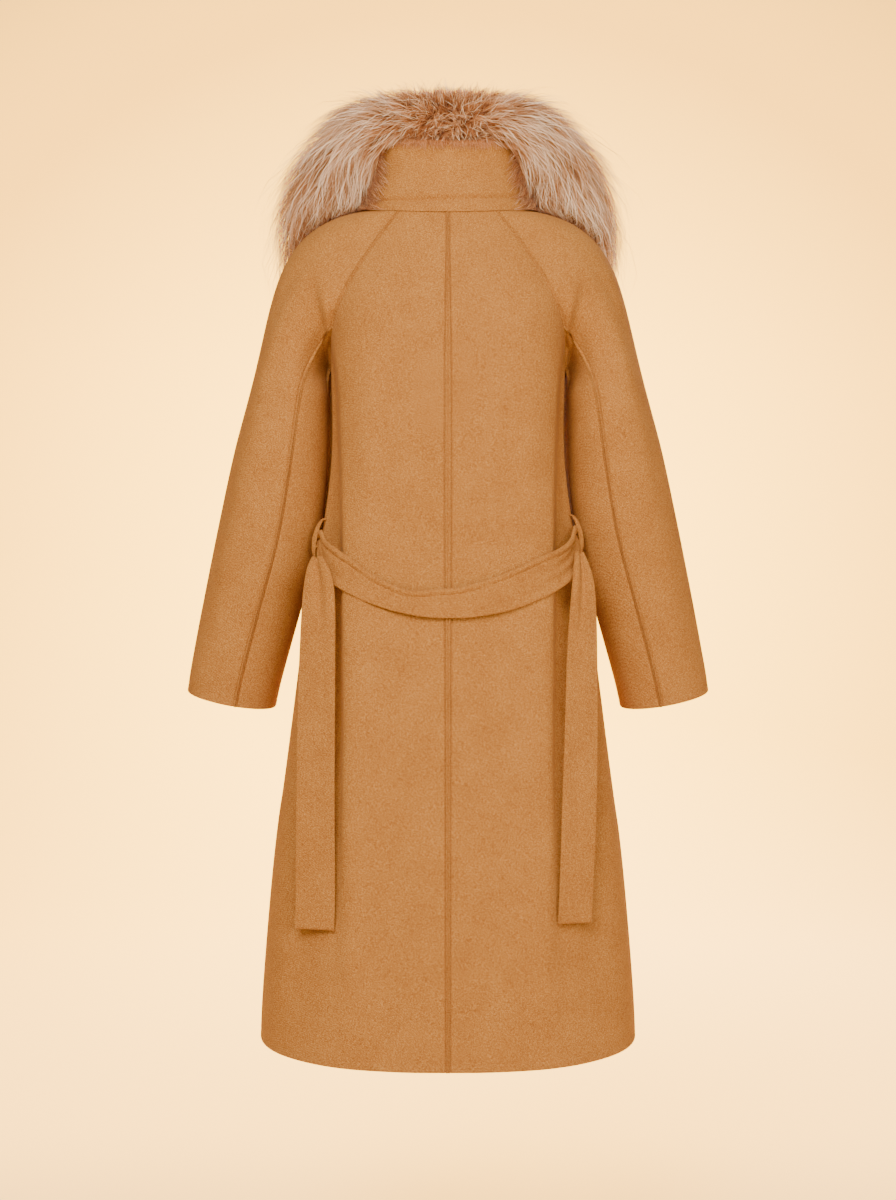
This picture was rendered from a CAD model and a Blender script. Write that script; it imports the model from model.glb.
import math
from functools import lru_cache

import bpy
import numpy as np
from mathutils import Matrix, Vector
from mathutils.bvhtree import BVHTree


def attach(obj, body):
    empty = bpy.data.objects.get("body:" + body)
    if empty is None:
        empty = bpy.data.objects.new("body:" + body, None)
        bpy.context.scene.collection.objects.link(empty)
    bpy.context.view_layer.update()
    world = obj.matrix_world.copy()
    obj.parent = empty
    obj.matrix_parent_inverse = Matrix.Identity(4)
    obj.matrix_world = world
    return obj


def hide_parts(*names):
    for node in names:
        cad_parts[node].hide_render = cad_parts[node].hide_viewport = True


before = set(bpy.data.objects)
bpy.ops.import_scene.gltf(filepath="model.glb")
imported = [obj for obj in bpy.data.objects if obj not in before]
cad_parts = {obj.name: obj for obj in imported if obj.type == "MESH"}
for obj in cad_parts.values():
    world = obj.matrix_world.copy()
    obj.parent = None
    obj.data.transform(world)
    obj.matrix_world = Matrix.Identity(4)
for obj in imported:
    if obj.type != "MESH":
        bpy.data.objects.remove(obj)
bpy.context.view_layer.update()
mm = 0.001

# The coat's own sizes in millimetres, the same as its solids have
coat = {
    "wall": 2.6, "hem": -1050, "hemDip": 18, "dipFrom": -880, "underarm": -190,
    "armpit": -142, "frontNeck": -12, "neckEdge": 70, "neckRise": 12, "wrapLevel": -400, "wrapPast": 45,
    "wrapStep": 7, "sleeveClear": 3.5, "underarmGap": 0.9, "armpitEase": 0.4, "standHigh": 87,
    "standLift": -0.4, "swellMiddle": 48, "swellReach": 24, "foldRound": 7,
}
# z, half width, depth behind, depth in front, squareness
bodySections = [
    (14, 99, 78, 82, 2.2), (-40, 138, 99, 106, 2.4), (-90, 152, 113, 118, 2.8),
    (-150, 152, 121, 125, 3.2), (-300, 150, 121, 126, 3.4), (-411, 164, 115, 120, 3.3),
    (-500, 183, 122, 126, 3.1), (-600, 196, 130, 134, 2.9), (-700, 209, 137, 140, 2.8),
    (-800, 222, 143, 145, 2.7), (-900, 232, 148, 149, 2.6), (-1000, 240, 152, 152, 2.5),
    (-1070, 243, 154, 153, 2.5),
]
# z, where the crisp edge of the long side fold runs, how deep it is
sideFold = [
    (-70, 166, 0), (-108, 160, 8), (-142, 151, 15), (-200, 139, 28), (-316, 133, 32),
    (-411, 131, 32), (-500, 130, 30), (-620, 128, 25), (-760, 127, 16), (-930, 127, 6), (-1040, 127, 0),
]
# z, how far the fronts swell sideways in front of the side seams
sideSwell = [
    (-168, 0), (-186, 7), (-200, 12), (-225, 13), (-380, 12), (-440, 14), (-490, 10), (-540, 4), (-600, 0),
]
raglanBack = [(0, 63), (-40, 94), (-84, 123), (-124, 142), (-142, 147)]
raglanFront = [(-12, 86), (-40, 104), (-84, 127), (-124, 143), (-142, 147)]
armholeLevels = [-190, -181, -170, -156, -142, -116, -92, -68, -45, -22, 0]
armholeShares = [0, 0.075, 0.15, 0.225, 0.3, 0.3833, 0.4667, 0.55, 0.6333, 0.7167, 0.8]
# along, x, y, z of the middle, half width, half depth
armSections = [
    (0, 206, 2, -224, 51, 64), (0.22, 217, 4, -306, 61, 63), (0.46, 233, 11, -402, 66, 61),
    (0.7, 257, 22, -498, 63, 58), (0.91, 278, 33, -583, 60, 55), (1, 285, 38, -618, 59, 54),
]
# turn from the underarm in half circles, and the way the sleeve leaves the armhole there
sleeveLeaving = [
    (0, 0.34, 0, -0.94), (0.15, 0.45, -0.05, -0.88), (0.3, 0.74, 0.05, -0.66),
    (0.5, 0.86, 0.12, -0.45), (0.8, 0.96, 0.06, -0.2), (1, 1, 0, -0.1),
]
sleeveSeamTurn = [(0, 0.3), (0.45, 0.4), (1, 0.44)]


def clamp01(value):
    return min(1.0, max(0.0, value))


def ease(value):
    t = clamp01(value)
    return t * t * (3 - 2 * t)


def mix(a, b, share):
    return a + (b - a) * share


# A smooth curve through one column of a table whose first column is the place
def readTable(rows, column, place):
    if rows[-1][0] < rows[0][0]:
        rows = rows[::-1]
    last = len(rows) - 1
    if place <= rows[0][0]:
        return rows[0][column]
    if place >= rows[last][0]:
        return rows[last][column]
    high = next(i for i, row in enumerate(rows) if row[0] > place)
    low = high - 1
    span = rows[high][0] - rows[low][0]

    def slope(i):
        before, after = rows[max(0, i - 1)], rows[min(last, i + 1)]
        return (after[column] - before[column]) / (after[0] - before[0])

    t = (place - rows[low][0]) / span
    straight = mix(rows[low][column], rows[high][column], t * t * (3 - 2 * t))
    return straight + span * (slope(low) * t * (1 - t) ** 2 - slope(high) * t * t * (1 - t))


@lru_cache(maxsize=None)
def bodySize(z):
    return tuple(readTable(bodySections, column, z) for column in range(1, 5))


def turnAtWidth(x, z):
    half, _, _, square = bodySize(z)
    return math.asin(clamp01(abs(x) / half) ** (square / 2))


@lru_cache(maxsize=None)
def foldAt(z):
    edge = readTable(sideFold, 1, z)
    depth = 0 if z > sideFold[0][0] else readTable(sideFold, 2, z)
    return edge, depth, turnAtWidth(edge, z)


def foldDepth(x, z, turn):
    edge, depth, edgeTurn = foldAt(z)
    quarter = math.pi / 2
    toSide = ease((quarter - turn) / max(0.12, (quarter - edgeTurn) * 0.7))
    return depth * ease((abs(x) - edge) / coat["foldRound"]) * toSide


def shellPoint(turn, z):
    half, back, front, square = bodySize(z)
    power = 2 / square
    sine, cosine = math.sin(turn), math.cos(turn)
    x = half * math.copysign(abs(sine) ** power, sine)
    y = -(back if cosine > 0 else front) * math.copysign(abs(cosine) ** power, cosine)
    return Vector((x, y, z))


def swellAt(y, z):
    if y < 0:
        return 0.0
    return readTable(sideSwell, 1, z) * math.exp(-(((y - coat["swellMiddle"]) / coat["swellReach"]) ** 2))


def bodyPoint(turn, z):
    point = shellPoint(turn, z)
    if math.cos(turn) > 0:
        point.y += foldDepth(point.x, z, turn)
    else:
        point.x += swellAt(point.y, z) * max(0, math.sin(turn)) ** 2
    return point


def shellNormal(turn, z):
    across = shellPoint(turn + 0.02, z) - shellPoint(turn - 0.02, z)
    up = shellPoint(turn, z + 4) - shellPoint(turn, z - 4)
    return across.cross(up).normalized()


def clothPoint(turn, level):
    point = bodyPoint(turn, level)
    quarter = turn / (math.pi / 2)
    rise = ease(quarter) if quarter < 1 else 1 - ease((quarter - 1) / 0.5)
    hemShare = ease((level - coat["dipFrom"]) / (coat["hem"] - coat["dipFrom"]))
    point.z += coat["neckRise"] * rise * ease((level + 60) / 60)
    point.z -= coat["hemDip"] * hemShare * max(0, math.cos(turn)) ** 1.2
    return point


def neckPoint(turn):
    return clothPoint(turn, mix(0, coat["frontNeck"], ease((turn / (math.pi / 2) - 1) / 0.5)))


# Where a body panel ends: on the raglan seam, on the curve under the arm, then at the side seam
def panelEnd(z, front):
    table = raglanFront if front else raglanBack
    seamTurn = lambda level: turnAtWidth(readTable(table, 1, level), level)
    flip = (lambda turn: math.pi - turn) if front else (lambda turn: turn)
    if z > coat["armpit"]:
        return flip(seamTurn(z))
    share = clamp01((z - coat["armpit"]) / (coat["underarm"] - coat["armpit"]))
    return mix(flip(seamTurn(coat["armpit"])), math.pi / 2, math.sin(share * math.pi / 2))


# The raised line of a sewn seam, by the distance from it in millimetres
seamLine = {"wide": 1.8, "high": 2.0, "groove": 1.1, "out": 3.4}
seamSteps = [0, 0.5, 1.1, 1.8, 2.6, 3.6, 4.8]


def seamRidge(distance):
    wide, out = seamLine["wide"], seamLine["out"]
    if distance < wide:
        return seamLine["high"] * max(0, math.sin(math.pi * distance / wide)) ** 0.7
    if distance < out:
        return -seamLine["groove"] * math.sin(math.pi * (distance - wide) / (out - wide))
    return 0.0


# Soft hollows by hand: x and z at both ends, half width and depth in millimetres. A ridge is below zero
backCreases = [
    (-60, -120, -78, -330, 26, 1.8), (58, -100, 70, -300, 30, 1.6), (-20, -90, -16, -300, 22, 1.1),
    (22, -150, 30, -400, 24, 1.0), (-96, -190, -104, -390, 12, -1.6), (100, -200, 106, -380, 13, -1.5),
    (-80, -330, -52, -440, 15, 1.6), (84, -340, 60, -430, 17, 1.4), (-30, -380, -6, -470, 14, -1.2),
    (-108, -420, -116, -700, 16, -2.4), (110, -410, 118, -690, 17, -2.3), (-60, -530, -70, -960, 34, 3.6),
    (64, -520, 80, -980, 38, 3.2), (-12, -560, -18, -900, 26, 2.2), (24, -600, 30, -1010, 30, 1.8),
    (-112, -700, -134, -1050, 30, -3.4), (112, -720, 128, -1050, 32, -3.0),
    (-168, -640, -182, -1040, 22, 3.2), (170, -660, 188, -1045, 24, 3.0),
    (-205, -760, -214, -1030, 18, -2.0), (206, -780, 212, -1030, 18, -2.0),
    (-36, -800, -44, -1060, 20, -1.8), (44, -860, 40, -1060, 18, -1.6),
]
frontCreases = [
    (-90, -180, -74, -420, 22, 2.2), (92, -170, 70, -430, 24, 2.4), (30, -300, -30, -430, 16, 1.8),
    (-50, -420, -66, -900, 30, 3.4), (58, -430, 74, -960, 34, 3.2), (-110, -400, -126, -1000, 26, -3.0),
    (112, -420, 130, -1020, 28, -2.8), (4, -480, 10, -1040, 24, 2.0), (-164, -560, -178, -1020, 20, 2.8),
    (166, -580, 184, -1030, 22, 2.8), (-24, -620, -20, -1040, 16, -1.4), (28, -640, 34, -1040, 18, -1.2),
]
# The same on a sleeve, by turn and share of the way down
sleeveCreases = [
    (0.45, 0.14, 0.62, 0.36, 0.1, 2.6), (0.52, 0.3, 0.4, 0.62, 0.09, 2),
    (0.7, 0.2, 0.66, 0.7, 0.12, -1.8), (0.3, 0.42, 0.46, 0.6, 0.06, 2.2),
    (0.24, 0.5, 0.4, 0.72, 0.05, 1.8), (0.85, 0.3, 0.8, 0.9, 0.1, 1.6),
    (1.2, 0.24, 1.34, 0.55, 0.1, 2.6), (1.5, 0.2, 1.4, 0.5, 0.1, 2.8),
    (1.62, 0.44, 1.46, 0.66, 0.06, 2.6), (1.72, 0.52, 1.55, 0.74, 0.06, 2.2),
    (1.3, 0.6, 1.26, 0.96, 0.1, -1.6), (0.1, 0.46, 0.26, 0.58, 0.06, 1.6),
    (0.55, 0.66, 0.5, 0.98, 0.1, 1.6), (1.05, 0.4, 1.02, 0.86, 0.1, -1.4),
]


def creaseAt(creases, a, b, aScale=1.0, bScale=1.0):
    total = 0.0
    for a0, b0, a1, b1, width, depth in creases:
        ax, bx = (a - a0) / aScale, (b - b0) / bScale
        dx, dy = (a1 - a0) / aScale, (b1 - b0) / bScale
        length = dx * dx + dy * dy
        share = (ax * dx + bx * dy) / length
        if share < -0.2 or share > 1.2:
            continue
        held = clamp01(share)
        away = math.hypot(ax - dx * held, bx - dy * held)
        fade = math.sin(math.pi * clamp01((share + 0.2) / 1.4)) ** 0.8
        total += depth * math.exp(-(away / width) ** 2) * fade
    return total


def gridNormals(grid):
    before = np.roll(grid, 1, axis=1)
    after = np.roll(grid, -1, axis=1)
    before[:, 0], after[:, -1] = grid[:, 0], grid[:, -1]
    across = after - before
    down = np.empty_like(grid)
    down[1:-1] = grid[2:] - grid[:-2]
    down[0], down[-1] = grid[1] - grid[0], grid[-1] - grid[-2]
    normals = np.cross(down, across)
    return normals / np.maximum(np.linalg.norm(normals, axis=2, keepdims=True), 1e-9)


def faceOut(normals, outward):
    rows, columns = normals.shape[:2]
    middle = normals[rows // 2, columns // 2]
    return normals if middle @ np.array(outward) > 0 else -normals


def newPiece(name, points, faces, material):
    mesh = bpy.data.meshes.new(name)
    mesh.from_pydata((points * mm).tolist(), [], faces)
    mesh.materials.append(material)
    piece = bpy.data.objects.new(name, mesh)
    bpy.context.scene.collection.objects.link(piece)
    return piece


# A sheet from rows of points in millimetres, thickened away from its outer side
def sheetObject(name, grid, thickness, outward, material):
    rows, columns = grid.shape[:2]
    normals = faceOut(gridNormals(grid), outward)
    faces = []
    for i in range(rows - 1):
        for j in range(columns - 1):
            here, below = i * columns + j, (i + 1) * columns + j
            faces.append((here, below, below + 1, here + 1))
    piece = newPiece(name, grid.reshape(-1, 3), faces, material)
    i, j = (rows - 1) // 2, (columns - 1) // 2
    if piece.data.polygons[i * (columns - 1) + j].normal.dot(Vector(normals[i, j])) < 0:
        piece.data.flip_normals()
    thicken(piece, thickness)
    return piece


def onlyActive(piece):
    bpy.ops.object.select_all(action="DESELECT")
    piece.select_set(True)
    bpy.context.view_layer.objects.active = piece


def thicken(piece, thickness):
    onlyActive(piece)
    solid = piece.modifiers.new("wall", "SOLIDIFY")
    solid.thickness = thickness * mm
    solid.offset = -1
    solid.use_even_offset = False
    bpy.ops.object.modifier_apply(modifier="wall")
    bpy.ops.object.shade_smooth_by_angle(angle=math.radians(50))


def displaced(grid, outward, lift):
    grid = np.array(grid)
    return grid + faceOut(gridNormals(grid), outward) * np.array(lift)[:, :, None]


# The same from rows of pairs, each a point and how far it is lifted
def liftedRows(rows, outward):
    grid = [[point for point, _ in row] for row in rows]
    return displaced(grid, outward, [[lift for _, lift in row] for row in rows])


def linear(hexColour):
    values = [int(hexColour[i:i + 2], 16) / 255 for i in (1, 3, 5)]
    turned = [v / 12.92 if v <= 0.04045 else ((v + 0.055) / 1.055) ** 2.4 for v in values]
    return (*turned, 1.0)


def addNode(tree, kind, settings=None, links=None):
    node = tree.nodes.new(kind)
    for key, value in (settings or {}).items():
        if isinstance(key, int) or key in node.inputs:
            node.inputs[key].default_value = value
        else:
            setattr(node, key, value)
    for socket, source in (links or {}).items():
        tree.links.new(source, node.inputs[socket])
    return node


# A math node's result. Each value is a number or another node's output
def calculate(tree, operation, *values):
    numbers = {i: value for i, value in enumerate(values) if isinstance(value, (int, float))}
    links = {i: value for i, value in enumerate(values) if i not in numbers}
    return addNode(tree, "ShaderNodeMath", {"operation": operation, **numbers}, links).outputs[0]


def noise(tree, place, scale, detail):
    settings = {"Scale": scale, "Detail": detail}
    return addNode(tree, "ShaderNodeTexNoise", settings, {"Vector": place}).outputs["Fac"]


def newMaterial(name):
    material = bpy.data.materials.new(name)
    material.use_nodes = True
    material.node_tree.nodes.clear()
    return material, material.node_tree


def finished(material, surface):
    addNode(material.node_tree, "ShaderNodeOutputMaterial", {}, {"Surface": surface})
    return material


def rampNode(tree, place, stops):
    node = addNode(tree, "ShaderNodeValToRGB", {}, {"Fac": place})
    ramp = node.color_ramp
    while len(ramp.elements) < len(stops):
        ramp.elements.new(0.5)
    for element, (at, colour) in zip(ramp.elements, stops):
        element.position = at
        element.color = linear(colour)
    return node.outputs["Color"]


# Wool and cashmere, woven in a twill, then felted and brushed: matt, with a soft sheen at grazing
# angles, mottled by short hairs. The twill shows only faintly, at 2 mm a line.
cloth = {
    "shade": "#875120", "middle": "#ad7336", "light": "#c5904d", "mottle": 26, "mottled": 0.14,
    "twill": 210, "broken": 5.0, "breaks": 2.4, "lines": 0.1, "fleck": 720, "nap": 1500, "grain": 0.9,
    "level": 0.44, "roughness": 0.94, "sheen": 0.15, "sheenTint": "#d9a56c", "bump": 0.6, "depth": 0.0008,
}


def feltedCloth(name, tone=0.0):
    material, tree = newMaterial(name)
    place = addNode(tree, "ShaderNodeTexCoord").outputs["Object"]
    twill = addNode(tree, "ShaderNodeTexWave", {
        "wave_type": "BANDS", "bands_direction": "DIAGONAL", "Scale": cloth["twill"],
        "Distortion": cloth["broken"], "Detail": 3.0, "Detail Scale": cloth["breaks"],
    }, {"Vector": place})
    fleck = noise(tree, place, cloth["fleck"], 2.0)
    weave = calculate(tree, "MULTIPLY_ADD", twill.outputs["Fac"], cloth["lines"], fleck)
    base = cloth["level"] - (0.5 + cloth["lines"] / 2) * cloth["grain"] + tone
    wide = calculate(tree, "MULTIPLY_ADD", noise(tree, place, cloth["mottle"], 3.0), cloth["mottled"], base)
    height = calculate(tree, "MULTIPLY_ADD", weave, cloth["grain"], wide)
    colours = [(0.28, cloth["shade"]), (0.52, cloth["middle"]), (0.74, cloth["light"])]
    rough = calculate(tree, "ADD", weave, noise(tree, place, cloth["nap"], 2.0))
    bump = addNode(tree, "ShaderNodeBump", {"Strength": cloth["bump"], "Distance": cloth["depth"]},
                   {"Height": rough})
    shader = addNode(tree, "ShaderNodeBsdfPrincipled", {
        "Roughness": cloth["roughness"], "Sheen Weight": cloth["sheen"], "Sheen Roughness": 0.45,
        "Sheen Tint": linear(cloth["sheenTint"]), "Specular IOR Level": 0.2,
    }, {"Base Color": rampNode(tree, height, colours), "Normal": bump.outputs["Normal"]})
    return finished(material, shader.outputs["BSDF"])


coatCloth = feltedCloth("felted camel cloth")
beltCloth = feltedCloth("felted camel belt cloth", -0.02)
print("materials for the cloth made")


def declare(piece, slot, *nodes):
    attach(piece, "root")
    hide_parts(*nodes)


# Grids are worked out for the wearer's right and mirrored for the left
def onSide(side, grid):
    return grid if side == "right" else grid * np.array([-1.0, 1.0, 1.0])


# Rows lie closer at the armhole and at the hem, whose turned edge is felled 9 mm up
panelRows = (
    [0, -0.5, -1.2, -2, -3.2, -4.6] + list(np.linspace(-12, -190, 30)) + list(np.linspace(-198, -1034, 76))
    + [-1038, -1040.2, -1041, -1042, -1044, -1047, -1049, -1050]
)


def hemLine(distance):
    return -0.5 * math.exp(-((distance - 9.5) / 0.9) ** 2) - 0.5 * clamp01(1 - distance / 1.5) ** 2


# Places along a row of a panel, close together at the seams and over the side fold
def rowAt(level, start, end, count, fold=None):
    turns = np.linspace(start, end, 90)
    points = np.array([clothPoint(turn, level) for turn in turns])
    length = np.concatenate([[0], np.cumsum(np.linalg.norm(np.diff(points, axis=0), axis=1))])
    whole = length[-1]
    inner = [d for d in seamSteps if d < whole * 0.4]
    plain = np.linspace(inner[-1], whole - inner[-1], count - 2 * len(inner) + 2)
    if fold is not None:
        at, below = np.interp(fold, turns, length), ease((coat["armpit"] - level) / 60)
        near, far = inner[-1], whole - inner[-1]
        centre = min(max(at - 6, near + 4), far - 4)
        few = len(plain) * 6 // 10
        crowded = np.concatenate([np.linspace(near, centre, few, endpoint=False),
                                  np.linspace(centre, far, len(plain) - few)])
        plain = plain * (1 - below) + crowded * below
    places = np.concatenate([inner, plain[1:-1], [whole - d for d in reversed(inner)]])
    return np.interp(places, length, turns), places, whole


def backGrid(side):
    rows = []
    sign = 1 if side == "right" else -1
    for level in panelRows:
        end = panelEnd(level, False)
        turns, places, whole = rowAt(level, 0, end, 64, min(end, foldAt(level)[2]))
        row = []
        for turn, place in zip(turns, places):
            point = clothPoint(turn, level)
            amount = seamRidge(place)
            if level > coat["underarm"]:
                amount += seamRidge(whole - place)
            amount += hemLine(level - coat["hem"]) if level < -1000 else 0
            amount -= creaseAt(backCreases, sign * point.x, point.z) * ease((whole - place) / 22)
            row.append((point, amount))
        rows.append(row)
    return onSide(side, liftedRows(rows, (0, -1, 0)))


def frontGrid(side):
    rows = []
    sign = 1 if side == "right" else -1
    neckRows = [coat["frontNeck"] + row for row in panelRows[:6]]
    for level in neckRows + [row for row in panelRows if row < -18]:
        start = panelEnd(level, True)
        share = ease((level - coat["frontNeck"]) / (coat["wrapLevel"] - coat["frontNeck"]))
        edge = mix(coat["neckEdge"], -coat["wrapPast"], share)
        width = math.pi - turnAtWidth(edge, level)
        end = width if edge > 0 else 2 * math.pi - width
        turns, places, whole = rowAt(level, start, end, 52)
        row = []
        for turn, place in zip(turns, places):
            point = clothPoint(turn, level)
            if side == "left":
                crossing = ease((coat["wrapPast"] + 40 - point.x) / 40) * ease((-level - 160) / 120)
                point.y -= coat["wrapStep"] * crossing
            amount = seamRidge(place) if level > coat["underarm"] else 0
            amount += hemLine(whole - place) * 0.8
            amount += hemLine(level - coat["hem"]) if level < -1000 else 0
            edges = ease((whole - place) / 25) * ease(place / 22)
            amount -= creaseAt(frontCreases, sign * point.x, point.z) * edges
            row.append((point, amount))
        rows.append(row)
    return onSide(side, liftedRows(rows, (0, 1, 0)))


# The line where the sleeve is set in, by the turn round the arm
def armholePoint(share):
    front = share > 1
    near = 2 - share if front else share
    if near <= 0.8:
        level = float(np.interp(near, armholeShares, armholeLevels))
        level = min(level, coat["frontNeck"]) if front else level
        turn = panelEnd(level, front)
        return clothPoint(turn, level), shellNormal(turn, level)
    turn = mix(panelEnd(0, False), panelEnd(coat["frontNeck"], True), (share - 0.8) / 0.4)
    return neckPoint(turn), None


@lru_cache(maxsize=None)
def armFrame(along):
    place = lambda t: Vector([readTable(armSections, column, t) for column in (1, 2, 3)])
    down = (place(min(1, along + 0.03)) - place(max(0, along - 0.03))).normalized()
    backwards = Vector((0, -1, 0))
    backwards = (backwards - down * backwards.dot(down)).normalized()
    inwards = backwards.cross(down).normalized()
    if inwards.x > 0:
        inwards.negate()
    half, depth = (readTable(armSections, column, along) for column in (4, 5))
    return place(along), backwards, inwards, half, depth


def armRing(turnShare, along):
    centre, backwards, inwards, half, depth = armFrame(along)
    angle = turnShare * math.pi
    return centre + inwards * (half * math.cos(angle)) + backwards * (depth * math.sin(angle))


def clearOfBody(point, gap):
    half, back, front, square = bodySize(round(point.z, 1))
    depth = back if point.y < 0 else front
    reach = clamp01(abs(point.y) / depth)
    if reach < 1:
        side = half * (1 - reach ** square) ** (1 / square)
        point.x = max(point.x, side + swellAt(point.y, point.z) + gap)
    return point


def bezier(points, t):
    a, b, c, d = points
    s = 1 - t
    return a * s ** 3 + b * (3 * s * s * t) + c * (3 * s * t * t) + d * t ** 3


# The share of a sleeve's length that lies above the underarm
yokeShare = 6 / 16


@lru_cache(maxsize=None)
def armholeFrame(share):
    point, normal = armholePoint(share)
    ahead, behind = armholePoint((share + 0.01) % 2)[0], armholePoint((share - 0.01) % 2)[0]
    return point, normal, (ahead - behind).normalized()


def sleevePoint(share, down):
    nearest = 2 - share if share > 1 else share
    front = -1 if share > 1 else 1
    seamShare = readTable(sleeveSeamTurn, 1, down)
    turn = nearest * seamShare / 0.3 if nearest <= 0.3 else mix(seamShare, 1, (nearest - 0.3) / 0.7)
    turn = turn if front > 0 else 2 - turn
    if down > yokeShare:
        return clearOfBody(armRing(turn, (down - yokeShare) / (1 - yokeShare)), coat["sleeveClear"])
    ring = armRing(turn, 0.0)
    way = (armRing(turn, 0.05) - ring).normalized()
    seamPoint, normal, tangent = armholeFrame(share)
    leave = Vector([readTable(sleeveLeaving, column, nearest) for column in (1, 2, 3)])
    leave.y *= front
    leave.normalize()
    chord = (ring - seamPoint).length
    nearUnderarm = 1 - ease((nearest - 0.2) / 0.12)
    nearArmpit = math.exp(-(((nearest - 0.3) / 0.09) ** 2))
    apart = (leave - tangent * leave.dot(tangent)).normalized() * (coat["armpitEase"] * nearArmpit)
    if normal is not None:
        apart += normal * (coat["underarmGap"] * nearUnderarm)
    out = down / yokeShare
    bends = seamPoint + leave * (chord * 0.44), ring - way * (chord * 0.4)
    point = bezier((seamPoint + apart, *bends, ring), out)
    if down == 0:
        return point
    if point.y < 0:
        point.y += foldDepth(point.x, point.z, 0) * (1 - ease(out * 1.4 - 0.4)) * ease(out * 5)
    return clearOfBody(point, coat["sleeveClear"] * ease(out * 2) * nearUnderarm + coat["underarmGap"])


sleeveLength = 620
sleeveRows = (
    [0, 0.0018, 0.004, 0.0065, 0.0095, 0.013, 0.019] + list(np.linspace(0.03, 0.982, 84))
    + [0.9855, 0.987, 0.989, 0.9925, 0.996, 0.9985, 1.0]
)
sleeveSeamSteps = [0, 0.0025, 0.0055, 0.009, 0.013, 0.018, 0.026]


def sleeveGrids(side):
    phase = 0.06 if side == "right" else 0
    found = []
    for start, end, count, outward in ((0.3, 1.7, 58, (1, 0, 0.1)), (-0.3, 0.3, 20, (-1, 0, 0))):
        shares = ([start + d for d in sleeveSeamSteps] + list(np.linspace(start + 0.04, end - 0.04, count))
                  + [end - d for d in reversed(sleeveSeamSteps)])
        grid = np.array([[sleevePoint(share % 2, down) for share in shares] for down in sleeveRows])
        lift = np.zeros(grid.shape[:2])
        steps = np.linalg.norm(np.diff(grid, axis=0), axis=2)
        toTop = np.concatenate([[np.zeros(len(shares))], np.cumsum(steps, axis=0)])
        for i, down in enumerate(sleeveRows):
            for j, share in enumerate(shares):
                toSeam = min(np.linalg.norm(grid[i, j] - grid[i, edge]) for edge in (0, -1))
                amount = seamRidge(toSeam) + hemLine((1 - down) * sleeveLength)
                if abs(share if share <= 1 else 2 - share) > 0.24:
                    amount += seamRidge(toTop[i, j])
                amount -= creaseAt(sleeveCreases, share % 2 + phase, down + phase * 0.5) * ease(down * 8)
                lift[i, j] = amount
        found.append(onSide(side, displaced(grid, outward, lift)))
    return found


clothPieces = []


def build(name, grid, outward, slot, material, node, thickness=coat["wall"]):
    piece = sheetObject(name, grid, thickness, outward, material)
    declare(piece, slot, node)
    clothPieces.append(piece)


def buildCoat(name, node, grid, outward):
    build(name, grid, outward, "coat_cloth", coatCloth, node)


def buildBelt(name, node, grid, outward, thickness):
    build(name, grid, outward, "belt_cloth", beltCloth, node, thickness)


for side, sign in (("left", -1), ("right", 1)):
    buildCoat(f"{side}_back", f"back_{side}", backGrid(side), (0, -1, 0))
    buildCoat(f"{side}_front", f"front_{side}", frontGrid(side), (0, 1, 0))
    upper, under = sleeveGrids(side)
    buildCoat(f"{side}_upper_sleeve", f"sleeve_upper_{side}", upper, (sign, 0, 0.1))
    buildCoat(f"{side}_under_sleeve", f"sleeve_under_{side}", under, (-sign, 0, 0))
    print(side, "body panels and sleeve made")

# The standing collar flares over a narrow band at its foot, and a soft crease runs above the band
stand = {"rows": 46, "columns": 150, "frontLift": 3, "band": 0.1, "flare": 1.8, "crease": 2.8}


standEnd = panelEnd(coat["frontNeck"], True) + 0.12


def standGrid():
    rows = []
    for up in np.linspace(0, 1, stand["rows"]):
        row = []
        for turn in np.linspace(-standEnd, standEnd, stand["columns"]):
            size = abs(turn)
            foot = neckPoint(size)
            narrow = 1 - 0.13 * ease(up * 1.6) - 0.03 * up
            high = coat["standHigh"] * mix(1, 0.8, ease((size - 1) / 1.3))
            foot.z += coat["standLift"] + stand["frontLift"] * ease((size - 1.9) / 0.4) + high * up
            x = foot.x * narrow * math.copysign(1, turn)
            wave = 0.03 * math.sin(turn * 2.3 + 0.6)
            amount = (stand["flare"] * math.exp(-(up / stand["band"]) ** 2)
                      - stand["crease"] * math.exp(-((up - 0.17 - wave) / 0.035) ** 2)
                      + 1.3 * math.exp(-((up - 0.27 - wave) / 0.06) ** 2)
                      + 0.8 * math.sin(turn * 3.1 + 4 * up) * ease(up * 3))
            row.append(((x, foot.y * mix(1, 0.9, ease(up * 1.6)), foot.z), amount))
        rows.append(row)
    return liftedRows(rows, (0, -1, 0))


standSkin = standGrid()
buildCoat("standing_collar", "stand_collar", standSkin, (0, -1, 0))
print("stand collar made")

# The belt lies across the back and droops in its middle
belt = {
    "thick": 3.4, "columns": 18, "round": 1.7, "slant": 0.3, "stitchUp": 10, "stitchIn": 0.55, "roll": 7,
    "rollHigh": 1.6, "rollGroove": 1.5,
}
# along, turn in degrees, level, half width, how far it stands off
beltAcross = [
    (0, -81, -414, 10, 4.4), (0.06, -74, -412, 12, 4.6), (0.12, -66, -425, 15, 4.6),
    (0.2, -54, -440, 19, 4.8), (0.29, -38, -456, 19, 4.6), (0.38, -21.6, -476, 17, 5),
    (0.47, -8.7, -491, 15, 7), (0.55, -1, -494, 18, 8), (0.63, 5, -489, 21, 7),
    (0.71, 15.6, -478, 23, 5), (0.8, 34.4, -458, 23, 5), (0.88, 56, -438, 19, 5.2),
    (0.94, 68, -420, 14, 5), (0.97, 75, -406, 12, 4.8), (1, 81, -408, 10, 4.6),
]
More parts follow.
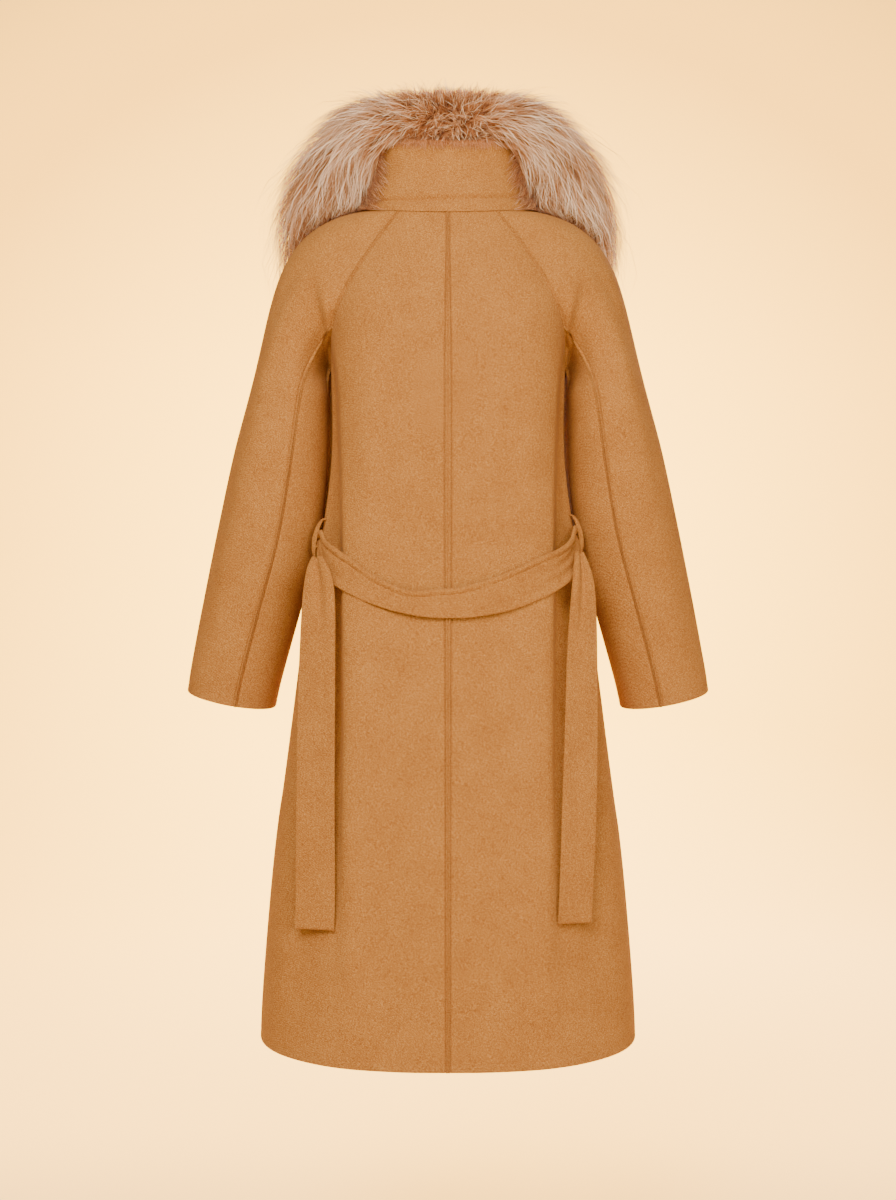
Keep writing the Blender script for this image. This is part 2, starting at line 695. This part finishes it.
# z, inner edge, outer edge, how far it stands off
beltEnds = {
    "left": [(-434, 157, 172, 19), (-448, 149, 177, 18), (-470, 143, 181, 13), (-500, 141, 184, 7),
             (-560, 141, 187, 2.7), (-620, 141, 189, 2.7), (-740, 141, 190, 2.7), (-850, 140, 190, 2.7),
             (-897, 141, 191, 2.7)],
    "right": [(-428, 160, 172, 19), (-444, 158, 178, 21), (-466, 156, 184, 16), (-500, 153, 187, 6),
              (-560, 149, 188, 3.2), (-640, 146, 188, 3.2), (-740, 142, 186, 3.2), (-850, 138, 181, 3.2),
              (-889, 136, 179, 3.2)],
}
# Soft folds of the belt: along and across at both ends, half width across, depth
beltFolds = [
    (0.0, 0.5, 0.13, 0.42, 0.1, 3.0), (0.02, 0.78, 0.2, 0.8, 0.12, 1.6), (0.1, 0.75, 0.42, 0.72, 0.14, 1.0),
    (0.86, 0.42, 1, 0.5, 0.1, 3), (0.8, 0.86, 0.98, 0.62, 0.09, 2.4), (0.78, 0.96, 0.98, 0.78, 0.09, -1.6),
    (0.36, 0.5, 0.62, 0.38, 0.14, 1.6), (0.5, 0.85, 0.8, 0.7, 0.14, 1.2), (0.74, 0.35, 0.98, 0.5, 0.15, 1.5),
]
endFolds = [
    (0.0, 0.5, 0.12, 0.56, 0.17, 4.2), (0.02, 0.2, 0.2, 0.2, 0.14, -1.6),
    (0.02, 0.85, 0.14, 0.86, 0.12, -1.4), (0.05, 0.85, 0.5, 0.9, 0.12, 1.0), (0.3, 0.35, 0.9, 0.4, 0.2, 0.8),
]


def beltSpot(along, lift, slide):
    read = lambda column: readTable(beltAcross, column, along)
    turn = math.radians(read(1))
    z, size = read(2) + lift, abs(turn)
    wide = (shellPoint(size + 0.01, z) - shellPoint(abs(size - 0.01), z)).length / 0.02
    moved = turn + slide / max(30, wide)
    point = shellPoint(abs(moved), z) + shellNormal(max(0.03, abs(moved)), z) * read(4)
    point.x = math.copysign(point.x, moved)
    return point


def beltLift(along, across, folds, width):
    edge = min(across, 1 - across) * width
    curl = -belt["round"] * (1 - clamp01(edge / belt["round"])) ** 2
    seam = -0.35 * math.exp(-((edge - 2.6) / 0.7) ** 2)
    return curl + seam - creaseAt(folds, along, across)


# The belt's top edge rolls over
def topRoll(down):
    roll = belt["rollHigh"] * math.sin(math.pi * clamp01(down / belt["roll"])) ** 0.8
    return roll - belt["rollGroove"] * math.exp(-(((down - belt["roll"] - 1.6) / 1.3) ** 2))


def beltAcrossGrid():
    rows = []
    shares = beltColumns(40)
    for along in np.linspace(0, 1, 190):
        ahead = beltSpot(min(1, along + 0.02), 0, 0) - beltSpot(max(0, along - 0.02), 0, 0)
        slope = math.atan2(ahead.z, math.hypot(ahead.x, ahead.y))
        half = readTable(beltAcross, 3, along)
        row = []
        for across in shares:
            off = half * (1 - 2 * across)
            point = beltSpot(along, off * math.cos(slope), -off * math.sin(slope))
            row.append((point, beltLift(along, across, beltFolds, 2 * half) + topRoll(across * 2 * half)))
        rows.append(row)
    return liftedRows(rows, (0, -1, 0))


def beltColumns(width):
    near = [distance / width for distance in (0, 0.35, 0.9, 1.7, 2.6, 3.6)]
    between = np.linspace(5.2 / width, 1 - 5.2 / width, belt["columns"])
    return near + list(between) + [1 - share for share in reversed(near)]


def beltEndGrid(side):
    table = beltEnds[side]
    shares = beltColumns(46)
    rows = []
    downs = np.concatenate([np.linspace(0, 0.955, 130), 0.96 + 0.04 * np.linspace(0, 1, 24)])
    for down in downs:
        z = mix(table[0][0], table[-1][0], down)
        inner, outer, off = (readTable(table, column, z) for column in (1, 2, 3))
        widest = bodySize(z)[0] * 0.97
        depthAt = lambda x: shellPoint(turnAtWidth(min(x, widest), z), z).y
        start = depthAt(inner) - off
        toFoot = z - table[-1][0]
        foot = -belt["round"] * (1 - clamp01(toFoot / belt["round"])) ** 2
        stitch = -belt["stitchIn"] * math.exp(-((toFoot - belt["stitchUp"]) / 0.9) ** 2)
        row = []
        for share in shares:
            x = mix(inner, outer, share)
            y = start + belt["slant"] * (x - inner)
            if x < widest:
                y = min(y, depthAt(x) - off)
            row.append(((x, y, z), beltLift(down, share, endFolds, outer - inner) + foot + stitch))
        rows.append(row)
    return onSide(side, liftedRows(rows, (0, -1, 0)))


buildBelt("tie_belt_across", "belt_across", beltAcrossGrid(), (0, -1, 0), belt["thick"])
for side in ("left", "right"):
    buildBelt(f"{side}_belt_end", f"belt_end_{side}", beltEndGrid(side), (0, -1, 0),
              belt["thick"])
print("belt made")

# Each belt loop is a narrow strip that stands off the side like a flat arch and twists: its top and foot
loops = {"left": (-384, -439), "right": (-379, -434)}
loop = {"turn": 73, "wide": 6.5, "thick": 1.6, "off": 11, "twist": 55}


def loopGrid(side):
    top, bottom = loops[side]
    turn = math.radians(loop["turn"])
    tangent = (shellPoint(turn + 0.02, top) - shellPoint(turn - 0.02, top)).normalized()
    grid = []
    for down in np.linspace(0, 1, 60):
        z = mix(top, bottom, down)
        rise = max(0, math.sin(math.pi * down)) ** 0.4
        normal = shellNormal(turn, z)
        normal.z = 0
        normal.normalize()
        off = loop["thick"] + 0.5 + (loop["off"] - loop["thick"]) * rise
        middle = bodyPoint(turn, z) + normal * off
        crown = lambda half: 0.5 * (1 - (2 * half) ** 2)
        twist = math.radians(loop["twist"]) * math.sin(math.pi * clamp01(down * 1.1)) ** 0.7
        across = tangent * math.cos(twist) + normal * math.sin(twist)
        rising = normal * math.cos(twist) - tangent * math.sin(twist)
        grid.append([middle + across * (half * loop["wide"]) + rising * crown(half)
                     for half in np.linspace(-0.5, 0.5, 9)])
    return onSide(side, np.array(grid))


for side, sign in (("left", -1), ("right", 1)):
    buildBelt(f"{side}_belt_loop", f"loop_{side}", loopGrid(side), (sign, -0.6, 0),
              loop["thick"])
print("belt loops made")

# The fur collar from the back of the neck down to the chest: along, the middle of a section, its
# reach away from the neck, towards it, up and down, and which way is up for it
furPath = [
    (0, 0, -52, 122, 30, 26, 42, 40, 0, -0.1, 1), (0.13, 50, -44, 122, 38, 28, 44, 42, 0.1, -0.1, 1),
    (0.25, 96, -12, 108, 58, 26, 60, 60, 0.3, 0, 0.95), (0.36, 130, 24, 78, 74, 40, 72, 90, 0.45, 0.15, 0.9),
    (0.48, 148, 60, 30, 88, 50, 76, 90, 0.4, 0.45, 0.8), (0.6, 144, 98, -34, 90, 52, 66, 80, 0.3, 0.85, 0.45),
    (0.73, 116, 128, -108, 72, 50, 48, 60, 0.2, 0.95, 0.2),
    (0.87, 84, 140, -188, 52, 40, 36, 50, 0.1, 1, 0.05),
    (1, 56, 138, -262, 18, 16, 14, 20, 0.1, 1, 0),
]
fur = {
    "hairs": {"left": 27500, "back": 26500, "right": 27500}, "lockOf": 22, "root": (0.3, 0.6),
    "tip": (0.7, 1.1), "gather": 0.74, "droop": 0.5, "part": 0.4, "wide": 0.9, "stations": 5,
    "pelt": 0.55, "clear": 0.8, "over": 1500, "fringe": 1400, "standOut": 0.1, "shadeAt": (82, 42),
    "shadeReach": (17, 46), "shade": 0.6,
}
furSpans = {"left": (-0.995, -0.2), "back": (-0.24, 0.24), "right": (0.2, 0.995)}


def unit(rows):
    return rows / np.maximum(np.linalg.norm(rows, axis=-1, keepdims=True), 1e-9)


stations = np.linspace(-1, 1, 401)
column = lambda index: np.array([readTable(furPath, index, abs(s)) for s in stations])
mirror = np.where(stations < 0, -1.0, 1.0)
furMiddle = np.stack([column(1) * mirror, column(2), column(3)], axis=1)
furWay = unit(np.gradient(furMiddle, axis=0))
furUp = np.stack([column(8) * mirror, column(9), column(10)], axis=1)
furUp = unit(furUp - furWay * np.sum(furUp * furWay, axis=1, keepdims=True))
furOut = unit(np.cross(furWay, furUp))
away = np.stack([furMiddle[:, 0], furMiddle[:, 1] - 30, np.zeros(len(stations))], axis=1)
furOut *= np.where(np.sum(furOut * away, axis=1, keepdims=True) < 0, -1.0, 1.0)
furReach = np.stack([column(index) for index in (4, 5, 6, 7)], axis=1)


def atStation(table, s):
    place = (np.clip(s, -1, 1) + 1) / 2 * (len(stations) - 1)
    low = np.minimum(place.astype(int), len(stations) - 2)
    share = (place - low)[..., None]
    return table[low] * (1 - share) + table[low + 1] * share


def furArm(s, angle):
    reach = atStation(furReach, s)
    cosine, sine = np.cos(angle), np.sin(angle)
    across = cosine * np.where(cosine > 0, reach[..., 0], reach[..., 1])
    high = sine * np.where(sine > 0, reach[..., 2], reach[..., 3])
    return atStation(furOut, s) * across[..., None] + atStation(furUp, s) * high[..., None]


# How far out each way from the middle the fur may go before it meets the cloth
limitStations, limitTurns = 121, 72


def clothTree():
    points, faces = [], []
    for piece in clothPieces:
        if "belt" in piece.name:
            continue
        offset = len(points)
        points += [vertex.co.copy() for vertex in piece.data.vertices]
        faces += [[offset + index for index in face.vertices] for face in piece.data.polygons]
    return BVHTree.FromPolygons(points, faces)


def furLimits():
    tree = clothTree()
    s = np.linspace(-1, 1, limitStations)[:, None] * np.ones((1, limitTurns))
    turn = np.linspace(0, 2 * np.pi, limitTurns, endpoint=False)[None, :] * np.ones((limitStations, 1))
    arms, middles = furArm(s, turn), atStation(furMiddle, s)
    found = np.full((limitStations, limitTurns), 3.0)
    for i in range(limitStations):
        for j in range(limitTurns):
            arm = Vector(arms[i, j])
            hit = tree.ray_cast(Vector(middles[i, j]) * mm, arm.normalized(), arm.length * 1.5 * mm)
            if hit[0] is not None:
                found[i, j] = max(0.0, hit[3] / mm - fur["clear"]) / arm.length
    near = [np.roll(found, shift, axis=1) for shift in (-1, 0, 1)]
    return np.minimum.reduce(near)


limits = furLimits()


def limitAt(s, turn):
    row = (np.clip(s, -1, 1) + 1) / 2 * (limitStations - 1)
    low = np.minimum(row.astype(int), limitStations - 2)
    spot = (turn / (2 * np.pi) % 1) * limitTurns
    left = spot.astype(int) % limitTurns
    right = (left + 1) % limitTurns
    a, b = row - low, spot - spot.astype(int)
    first = limits[low, left] * (1 - b) + limits[low, right] * b
    second = limits[low + 1, left] * (1 - b) + limits[low + 1, right] * b
    return first * (1 - a) + second * a


def furPoint(s, turn, rho):
    held = np.minimum(rho, limitAt(s, turn))
    return atStation(furMiddle, s) + furArm(s, turn) * held[..., None]


# Fur: rust brown and dark near the skin, tan to pale at the tips, greyer and paler to the sides.
# u of the map is a hair's own tone and v runs from its root to its tip.
def furMaterial(name, roots):
    material, tree = newMaterial(name)
    uv = addNode(tree, "ShaderNodeUVMap", {"uv_map": "hair"})
    parts = addNode(tree, "ShaderNodeSeparateXYZ", {}, {"Vector": uv.outputs["UV"]})
    along = parts.outputs["Y"]
    warm = rampNode(tree, along, [(0, roots), (0.38, "#b06a30"), (0.7, "#dfa066"), (1, "#fbd8b0")])
    pale = rampNode(tree, along, [(0, roots), (0.34, "#9c5c2a"), (0.64, "#dcaa7c"), (1, "#fce6c6")])
    both = addNode(tree, "ShaderNodeMix", {"data_type": "RGBA"}, {0: parts.outputs["X"], 6: warm, 7: pale})
    shader = addNode(tree, "ShaderNodeBsdfPrincipled", {
        "Roughness": 0.55, "Specular IOR Level": 0.35, "Sheen Weight": 0.15, "Sheen Roughness": 0.5,
    }, {"Base Color": both.outputs[2]})
    through = addNode(tree, "ShaderNodeBsdfTranslucent", {}, {"Color": both.outputs[2]})
    blend = addNode(tree, "ShaderNodeMixShader", {0: 0.22},
                    {1: shader.outputs["BSDF"], 2: through.outputs["BSDF"]})
    return finished(material, blend.outputs["Shader"])


hairMaterial = furMaterial("long fur hair", "#6a3c1c")
peltMaterial = furMaterial("fur underneath", "#4a2813")


def furObject(name, points, faces, tones, alongs, material):
    piece = newPiece(name, points, faces, material)
    mesh = piece.data
    layer = mesh.uv_layers.new(name="hair")
    indices = np.empty(len(mesh.loops), dtype=np.int32)
    mesh.loops.foreach_get("vertex_index", indices)
    flat = np.stack([tones[indices], alongs[indices]], axis=1).astype(np.float32)
    layer.data.foreach_set("uv", flat.reshape(-1))
    mesh.polygons.foreach_set("use_smooth", [True] * len(mesh.polygons))
    return piece


# The pelt and short underfur that fill the collar below its long hairs
def peltPiece(part, low, high):
    rows, columns = 54, 48
    s = np.linspace(low, high, rows)[:, None] * np.ones((1, columns))
    turn = np.linspace(0, 2 * np.pi, columns, endpoint=False)[None, :] * np.ones((rows, 1))
    rough = 1 + 0.07 * np.sin(7 * turn + 60 * s) + 0.05 * np.sin(11 * turn - 83 * s + 1.3)
    points = furPoint(s, turn, fur["pelt"] * rough)
    ends = points[[0, -1]].mean(axis=1)
    at = lambda i, j: i * columns + j % columns
    faces = [(at(i, j), at(i + 1, j), at(i + 1, j + 1), at(i, j + 1))
             for i in range(rows - 1) for j in range(columns)]
    for row, centre in ((0, rows * columns), (rows - 1, rows * columns + 1)):
        faces += [(centre, at(row, j), at(row, j + 1)) for j in range(columns)]
    points = np.concatenate([points.reshape(-1, 3), ends])
    tones = np.clip(np.abs(points[:, 0]) / 120, 0, 1)
    alongs = np.full(len(points), 0.2)
    piece = furObject(f"fur_pelt_{part}", points, faces, tones, alongs, peltMaterial)
    onlyActive(piece)
    bpy.ops.object.mode_set(mode="EDIT")
    bpy.ops.mesh.select_all(action="SELECT")
    bpy.ops.mesh.normals_make_consistent(inside=False)
    bpy.ops.object.mode_set(mode="OBJECT")
    declare(piece, "fur", f"fur_collar_{part}")


# Flat tapered strands along given lines; outward is the way a strand faces
def strandPiece(name, line, outward, wide, tone, reach, rng):
    count, along = line.shape[:2]
    t = np.linspace(0, 1, along)[None, :, None]
    tangent = unit(np.gradient(line, axis=1))
    side = unit(np.cross(tangent, outward))
    lift = np.cross(side, tangent)
    roll = rng.uniform(-0.8, 0.8, count)[:, None, None]
    side = (side * np.cos(roll) + lift * np.sin(roll)) * wide[:, None, None] * (1 - t ** 2 * 0.85) / 2
    left, right = line - side, line + side
    k = along - 1
    points = np.concatenate([np.stack([left[:, :k], right[:, :k]], axis=2).reshape(count, 2 * k, 3),
                             line[:, k:]], axis=1)
    each = 2 * k + 1
    base = (np.arange(count) * each)[:, None]
    faces = []
    for step in range(k - 1):
        faces += (base + np.array([[2 * step, 2 * step + 1, 2 * step + 3, 2 * step + 2]])).tolist()
    faces += (base + np.array([[2 * k - 2, 2 * k - 1, 2 * k]])).tolist()
    alongs = np.clip(np.concatenate([np.repeat(reach[:, :k], 2, axis=1), reach[:, k:]], axis=1), 0, 1)
    tones = np.repeat(tone, each)
    piece = furObject(name, points.reshape(-1, 3), faces, tones, alongs.reshape(-1), hairMaterial)
    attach(piece, "root")


# How far a hair's tip turns about the section and moves along the collar. At the back the hairs fan
# up and out, and at the sides they fall.
def leaning(s, turn):
    side = np.clip((np.abs(s) - 0.1) / 0.22, 0, 1)
    side = side * side * (3 - 2 * side)
    fall = -fur["droop"] * np.cos(turn) - fur["part"] * np.maximum(0, np.sin(turn))
    return side * fall, 0.21 * s * (1 - side) + side * 0.12 * np.sign(s)


# Long hairs start in the pelt, lean the way the fur lies and gather in locks. A tenth stand out
# further. Those beside the stand lie in shade and stay dark.
def hairPiece(part, low, high, count, seed):
    rng = np.random.default_rng(seed)
    locks = count // fur["lockOf"]
    lockS, lockTurn = rng.uniform(low, high, locks), rng.uniform(0, 2 * np.pi, locks)
    s, turn = rng.uniform(low, high, count), rng.uniform(0, 2 * np.pi, count)
    lockSpot = np.stack([lockS * 9, np.cos(lockTurn), np.sin(lockTurn)], axis=1)
    nearest = np.empty(count, dtype=int)
    for first in range(0, count, 2000):
        spot = np.stack([s * 9, np.cos(turn), np.sin(turn)], axis=1)[first:first + 2000]
        nearest[first:first + 2000] = np.argmin(((spot[:, None] - lockSpot[None]) ** 2).sum(axis=2), axis=1)

    guard = rng.random(count) < fur["standOut"]
    rho0 = rng.uniform(*fur["root"], count)
    rho1 = rng.uniform(*fur["tip"], count) - 0.2 * (rng.random(count) < 0.25)
    rho1 += guard * rng.uniform(0.08, 0.34, count)
    lockRho = rng.uniform(0.78, 1.06, locks)
    turnBy, sBy = leaning(s, turn)
    lockTurnBy, lockSBy = leaning(lockS, lockTurn)
    lockTurnBy = lockTurnBy + rng.normal(0, 0.34, locks)
    lockSBy = lockSBy + rng.normal(0, 0.03, locks)
    turnBy = turnBy + rng.normal(0, 0.22, count)
    sBy = sBy + rng.normal(0, 0.026, count)
    gap = (lockTurn[nearest] + lockTurnBy[nearest]) - (turn + turnBy)
    gap = (gap + np.pi) % (2 * np.pi) - np.pi
    gather = fur["gather"] * rng.uniform(0.35, 1.1, count) * np.where(guard, 0.3, 1)
    endTurnBy = turnBy + gap * gather
    endSBy = sBy + ((lockS + lockSBy)[nearest] - (s + sBy)) * gather
    endRho = rho1 + (lockRho[nearest] - rho1) * gather * 0.7
    wave, waveSize = rng.uniform(0, 2 * np.pi, count), rng.uniform(0.2, 1.0, count)
    t = np.linspace(0, 1, fur["stations"])[None, :]
    rho = rho0[:, None] + (endRho - rho0)[:, None] * (1 - (1 - t) ** 1.5)
    waving = 0.04 * waveSize[:, None] * np.sin(5 * t + wave[:, None])
    turns = turn[:, None] + endTurnBy[:, None] * t ** 1.5 + waving
    places = np.clip(s[:, None] + endSBy[:, None] * t ** 1.3, -1, 1)
    line = furPoint(places, turns, rho)
    side = np.clip((np.abs(line[:, -1, 0]) - 50) / 75, 0, 1)
    lockTone, lockDark = rng.normal(0, 0.14, locks)[nearest], rng.uniform(0.5, 1.24, locks)[nearest]
    tone = np.clip(0.06 + 0.54 * side + rng.normal(0, 0.16, count) + lockTone + 0.3 * guard, 0, 1)
    light = rng.uniform(0.8, 1.1, count) * np.where(guard, 1.1, lockDark)
    reach = np.clip((rho - 0.34) / 0.7, 0, 1) * light[:, None]
    (shadeX, shadeZ), (reachX, reachZ) = fur["shadeAt"], fur["shadeReach"]
    shade = np.exp(-((np.abs(line[..., 0]) - shadeX) / reachX) ** 2 - ((line[..., 2] - shadeZ) / reachZ) ** 2)
    reach = reach * (1 + 0.16 * side[:, None]) * (1 - fur["shade"] * shade)
    wide = fur["wide"] * rng.uniform(0.45, 1.1, count) * np.where(guard, 1.15, 1)
    strandPiece(f"fur_hair_{part}", line, unit(furArm(places, turns)), wide, tone, reach, rng)


# Hairs from the collar's lower edge lie over the sides of the stand, and a fringe hangs over its top
def overPiece():
    rng = np.random.default_rng(29)
    normals = faceOut(gridNormals(standSkin), (0, -1, 0))
    rows, columns = standSkin.shape[:2]

    def skin(up, turn, off):
        i = np.clip(up, 0, 1) * (rows - 1)
        j = (np.clip(turn, -standEnd, standEnd) / standEnd + 1) / 2 * (columns - 1)
        i0, j0 = np.minimum(i.astype(int), rows - 2), np.minimum(j.astype(int), columns - 2)
        a, b = (i - i0)[..., None], (j - j0)[..., None]
        blend = lambda g: (g[i0, j0] * (1 - a) * (1 - b) + g[i0 + 1, j0] * a * (1 - b)
                           + g[i0, j0 + 1] * (1 - a) * b + g[i0 + 1, j0 + 1] * a * b)
        normal = unit(blend(normals))
        return blend(standSkin) + normal * off[..., None], normal

    t = np.linspace(0, 1, fur["stations"])[None, :]
    lines, ways, tones, reaches = [], [], [], []
    for sign in (-1, 1):
        count = fur["over"]
        up = rng.uniform(0.02, 1, count)[:, None]
        start = (1.42 - 0.3 * rng.random(count) ** 2)[:, None]
        swing = rng.uniform(0.08, 0.42, count)[:, None] * (1.1 - 0.35 * up)
        turn = sign * (start - swing * t ** 0.9)
        fall = rng.uniform(0.04, 0.26, count)[:, None] * t ** 1.4
        off = 2.5 + rng.uniform(2, 7, count)[:, None] * np.sin(np.pi * (0.15 + 0.8 * t))
        line, way = skin(up - fall, turn, off)
        lines.append(line)
        ways.append(way)
        tones.append(np.clip(rng.normal(0.45, 0.22, count), 0, 1))
        reaches.append(np.clip(0.1 + 0.9 * t ** 0.8, 0, 1) * rng.uniform(0.3, 1.05, count)[:, None])
    count = fur["fringe"]
    turn = rng.uniform(-1.15, 1.15, count)[:, None] + rng.normal(0, 0.05, count)[:, None] * t
    tall = rng.uniform(1.5, 6.5, count)[:, None]
    hang = rng.uniform(0.01, 0.16, count)[:, None] * rng.random(count)[:, None] ** 0.5
    off = -5 + 9.5 * t
    line, way = skin(1 - hang * np.clip((t - 0.55) / 0.45, 0, 1) ** 1.2, turn, off)
    line[..., 2] += tall * np.sin(np.pi * np.clip(t * 1.25, 0, 1))
    lines.append(line)
    ways.append(way)
    tones.append(np.clip(rng.normal(0.12, 0.12, count), 0, 1))
    reaches.append(np.clip(0.2 + 0.5 * t, 0, 1) * rng.uniform(0.7, 1.2, count)[:, None])
    line, way = np.concatenate(lines), np.concatenate(ways)
    wide = fur["wide"] * rng.uniform(0.4, 0.95, len(line))
    tones, reaches = np.concatenate(tones), np.concatenate(reaches)
    strandPiece("fur_hair_over_stand", line, way, wide, tones, reaches, rng)


for number, part in enumerate(("left", "back", "right")):
    low, high = furSpans[part]
    peltPiece(part, low, high)
    hairPiece(part, low, high, fur["hairs"][part], 11 + number)
    print("fur made:", part)
overPiece()

# The studio: a pale floor that turns up into a wall, which glows behind the coat, and soft light
studio = {
    "floor": -1.42, "wall": 4.8, "size": 16, "high": 7, "round": 1.8, "plain": "#ecdcbc", "near": "#ffbf3c",
    "far": "#bd8414", "glow": 7.0, "glowLevel": -0.49, "glowReach": 2.3, "glowEnd": 3.8, "glowFlat": 0.35,
    "glowFrom": -0.4, "glowFull": 1.0, "world": "#fff2e0", "worldStrength": 0.13,
}


def studioMaterial():
    material, tree = newMaterial("pale studio")
    coords = addNode(tree, "ShaderNodeTexCoord").outputs["Object"]
    middle = (0, studio["wall"], studio["glowLevel"])
    centre = addNode(tree, "ShaderNodeVectorMath", {"operation": "SUBTRACT", 1: middle}, {0: coords})
    squeezed = addNode(tree, "ShaderNodeVectorMath", {"operation": "MULTIPLY", 1: (1, studio["glowFlat"], 1)},
                       {0: centre.outputs[0]})
    length = addNode(tree, "ShaderNodeVectorMath", {"operation": "LENGTH"}, {0: squeezed.outputs[0]})
    far = length.outputs["Value"]
    share = calculate(tree, "DIVIDE", far, studio["glowReach"])
    colour = rampNode(tree, share, [(0.35, studio["near"]), (0.95, studio["far"])])
    inside = addNode(tree, "ShaderNodeMapRange", {
        "interpolation_type": "SMOOTHSTEP", "From Min": studio["glowReach"], "From Max": studio["glowEnd"],
        "To Min": studio["glow"], "To Max": 0.0,
    }, {"Value": far})
    spread = addNode(tree, "ShaderNodeSeparateXYZ", {}, {"Vector": coords})
    behind = addNode(tree, "ShaderNodeMapRange", {
        "interpolation_type": "SMOOTHSTEP", "From Min": studio["glowFrom"], "From Max": studio["glowFull"],
    }, {"Value": spread.outputs["Y"]})
    strength = calculate(tree, "MULTIPLY", inside.outputs["Result"], behind.outputs["Result"])
    shine = addNode(tree, "ShaderNodeEmission", {}, {"Color": colour, "Strength": strength})
    matt = addNode(tree, "ShaderNodeBsdfDiffuse", {"Color": linear(studio["plain"])})
    both = addNode(tree, "ShaderNodeAddShader", {}, {0: matt.outputs["BSDF"], 1: shine.outputs["Emission"]})
    return finished(material, both.outputs["Shader"])


bpy.ops.object.select_all(action="DESELECT")
middle = (0, studio["wall"] - studio["size"] / 2, studio["floor"])
bpy.ops.mesh.primitive_plane_add(size=studio["size"], location=middle)
floor = bpy.context.active_object
floor.name = "studio_floor"
bpy.ops.object.transform_apply(location=True, rotation=False, scale=False)
for edge in floor.data.edges:
    edge.select = all(floor.data.vertices[i].co.y > studio["wall"] - 0.01 for i in edge.vertices)
for vertex in floor.data.vertices:
    vertex.select = vertex.co.y > studio["wall"] - 0.01
for face in floor.data.polygons:
    face.select = False
bpy.ops.object.mode_set(mode="EDIT")
bpy.ops.mesh.select_mode(type="EDGE")
bpy.ops.mesh.extrude_region_move(TRANSFORM_OT_translate={"value": (0, 0, studio["high"])})
bpy.ops.object.mode_set(mode="OBJECT")
rounded = floor.modifiers.new("round", "BEVEL")
rounded.width, rounded.segments, rounded.limit_method = studio["round"], 16, "ANGLE"
bpy.ops.object.modifier_apply(modifier="round")
bpy.ops.object.shade_smooth()
floor.data.materials.append(studioMaterial())

world = bpy.data.worlds.new("studio")
bpy.context.scene.world = world
world.use_nodes = True
world.node_tree.nodes["Background"].inputs["Color"].default_value = linear(studio["world"])
world.node_tree.nodes["Background"].inputs["Strength"].default_value = studio["worldStrength"]

# name, place, what it points at, size, watts, colour
lamps = [
    ("key", (-0.9, -3.2, 1.7), (0, 0, -0.45), 1.7, 152, "#fff6ea"),
    ("fill", (1.2, -3.4, 0.3), (0, 0, -0.5), 2.0, 90, "#fff2e2"),
    ("top", (0, -1.3, 2.0), (0, 0, -0.2), 1.4, 14, "#fff8f0"),
    ("front", (0.9, 3.2, 1.2), (0, 0, -0.4), 2.0, 120, "#f6f2ff"),
]
for name, place, target, size, energy, colour in lamps:
    lamp = bpy.data.lights.new(name, "AREA")
    lamp.shape, lamp.size, lamp.energy, lamp.color = "DISK", size, energy, linear(colour)[:3]
    holder = bpy.data.objects.new(name, lamp)
    holder.location = place
    holder.rotation_euler = (Vector(target) - Vector(place)).to_track_quat("-Z", "Y").to_euler()
    bpy.context.scene.collection.objects.link(holder)

view = {"sensor": 36, "lens": 60, "behind": 2.6, "level": -0.489}
lens = bpy.data.cameras.new("camera")
lens.sensor_fit, lens.sensor_width, lens.lens = "AUTO", view["sensor"], view["lens"]
camera = bpy.data.objects.new("camera", lens)
camera.location = (0, -view["behind"], view["level"])
camera.rotation_euler = (math.radians(90), 0, 0)
bpy.context.scene.collection.objects.link(camera)
bpy.context.scene.camera = camera
print("studio made")
